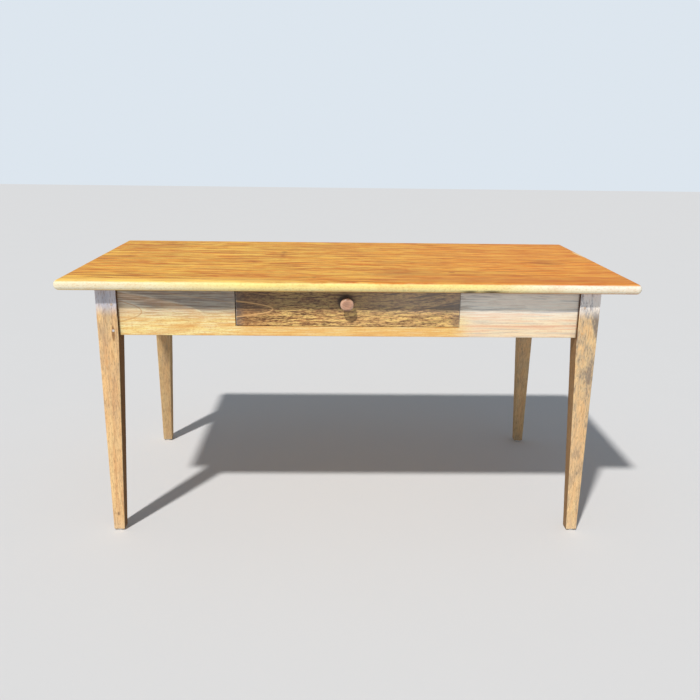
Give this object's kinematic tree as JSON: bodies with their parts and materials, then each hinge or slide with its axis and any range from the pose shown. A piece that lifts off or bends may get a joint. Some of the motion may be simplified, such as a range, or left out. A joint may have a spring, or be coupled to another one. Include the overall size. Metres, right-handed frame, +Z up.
{
  "type": "farmhouse table",
  "caption": "Long wooden kitchen table with a round-edged board top, square tapered legs, deep aprons and a drawer with a turned knob in the front apron.",
  "frame": {"origin": "on the floor under the middle of the top", "axes": "+X along the table to the right as seen from the drawer side, +Y towards the back, +Z up; the drawer opens towards -Y"},
  "size_m": [1.6, 0.78, 0.765],
  "materials": {
    "top_wood": "satin wax over old honey-coloured softwood",
    "leg_wood": "dull wax, worn arrises",
    "apron_wood": "dull wax, streaked",
    "drawer_front_wood": "dull wax, darker and figured",
    "drawer_box_wood": "bare, sawn and planed",
    "knob_wood": "turned, satin from handling",
    "inner_wood": "bare, dusty",
    "peg_wood": "dark end grain",
    "steel": "dull, slightly rusted",
    "glide_plastic": "matt off-white"
  },
  "bodies": {
    "frame": {"top_board_1": "top_wood", "top_board_2": "top_wood", "top_board_3": "top_wood", "top_board_4": "top_wood", "top_tongues": "inner_wood", "front_left_leg": "leg_wood", "front_left_glide": "glide_plastic", "front_right_leg": "leg_wood", "front_right_glide": "glide_plastic", "rear_left_leg": "leg_wood", "rear_left_glide": "glide_plastic", "rear_right_leg": "leg_wood", "rear_right_glide": "glide_plastic", "front_apron": "apron_wood", "rear_apron": "apron_wood", "left_apron": "apron_wood", "right_apron": "apron_wood", "tenon_pegs": "peg_wood", "left_runner": "inner_wood", "left_guide": "inner_wood", "left_kicker": "inner_wood", "right_runner": "inner_wood", "right_guide": "inner_wood", "right_kicker": "inner_wood", "drawer_stops": "inner_wood", "top_buttons": "inner_wood", "guide_nails": "steel", "kicker_screws": "steel", "button_screws": "steel", "glide_nails": "steel"},
    "drawer": {"drawer_front": "drawer_front_wood", "drawer_left_side": "drawer_box_wood", "drawer_right_side": "drawer_box_wood", "drawer_back": "drawer_box_wood", "drawer_bottom": "drawer_box_wood", "bottom_nails": "steel", "drawer_knob": "knob_wood"}
  },
  "joints": [
    {"name": "drawer_slide", "type": "slide", "parent": "frame", "child": "drawer", "axis": [0, -1, 0], "range_m": [0, 0.38]}
  ]
}
